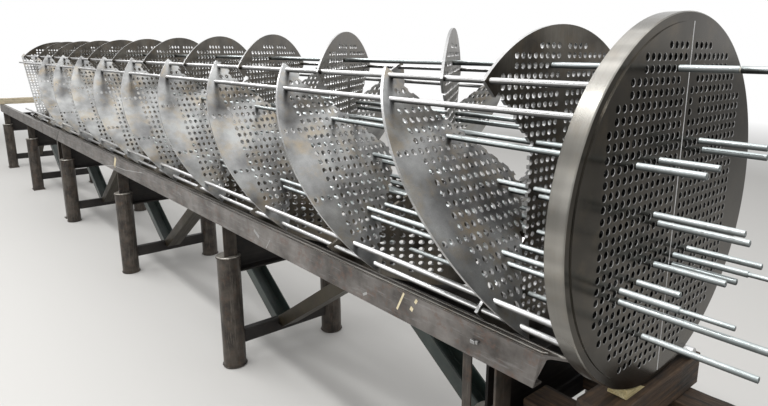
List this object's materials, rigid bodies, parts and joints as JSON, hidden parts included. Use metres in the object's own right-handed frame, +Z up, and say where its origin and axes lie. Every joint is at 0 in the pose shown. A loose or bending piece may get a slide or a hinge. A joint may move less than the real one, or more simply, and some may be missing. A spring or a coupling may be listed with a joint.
{
  "type": "helical baffle heat exchanger tube bundle on an assembly bench",
  "caption": "Part-built tube bundle of a shell-and-tube heat exchanger: drilled tubesheet, slanted quarter-round baffles on tie rods and first tubes, lying on a steel trestle bench.",
  "frame": {"origin": "on the floor, midway along and across the whole assembly", "axes": "+X along the bundle's axis towards the tubesheet's outer face, +Z up, -Y the side that the picture shows"},
  "size_m": [8.88, 0.9119, 1.606],
  "materials": {
    "tubesheet_steel": "faced and drilled steel, satin, with a bright turned rim",
    "plate_steel": "rolled plate, satin grey, with bright cut edges",
    "rod_steel": "bright drawn bar",
    "tube_steel": "bright drawn tube",
    "rail_steel": "worn mill steel, brown grey, scuffed",
    "trestle_steel": "dark brown and dark green worn paint, lightly rusted",
    "old_wood": "weathered softwood, stained",
    "new_wood": "pale sawn softwood"
  },
  "bodies": {
    "root": {"bench_spine": "trestle_steel", "bench_timber": "new_wood", "bottom_plates_1": "plate_steel", "bottom_plates_2": "plate_steel", "bottom_plates_3": "plate_steel", "bottom_plates_4": "plate_steel", "cap_timber": "old_wood", "chock_bar": "rod_steel", "corner_tie_rods": "rod_steel", "crib_cross_timbers": "old_wood", "crib_long_timbers": "old_wood", "far_plates_1": "plate_steel", "far_plates_2": "plate_steel", "far_plates_3": "plate_steel", "far_plates_4": "plate_steel", "far_rail": "rail_steel", "first_end_plate": "plate_steel", "last_end_plate": "plate_steel", "lower_tubes": "tube_steel", "middle_tubes": "tube_steel", "near_plates_1": "plate_steel", "near_plates_2": "plate_steel", "near_plates_3": "plate_steel", "near_plates_4": "plate_steel", "near_rail": "rail_steel", "rolling_wedge": "new_wood", "side_tie_rods": "rod_steel", "tie_rod_nuts": "rod_steel", "top_plates_1": "plate_steel", "top_plates_2": "plate_steel", "top_plates_3": "plate_steel", "top_plates_4": "plate_steel", "trestle_1": "trestle_steel", "trestle_2": "trestle_steel", "trestle_3": "trestle_steel", "trestle_4": "trestle_steel", "trestle_5": "trestle_steel", "trestle_6": "trestle_steel", "tubesheet": "tubesheet_steel", "upper_tubes": "tube_steel"}
  },
  "joints": []
}
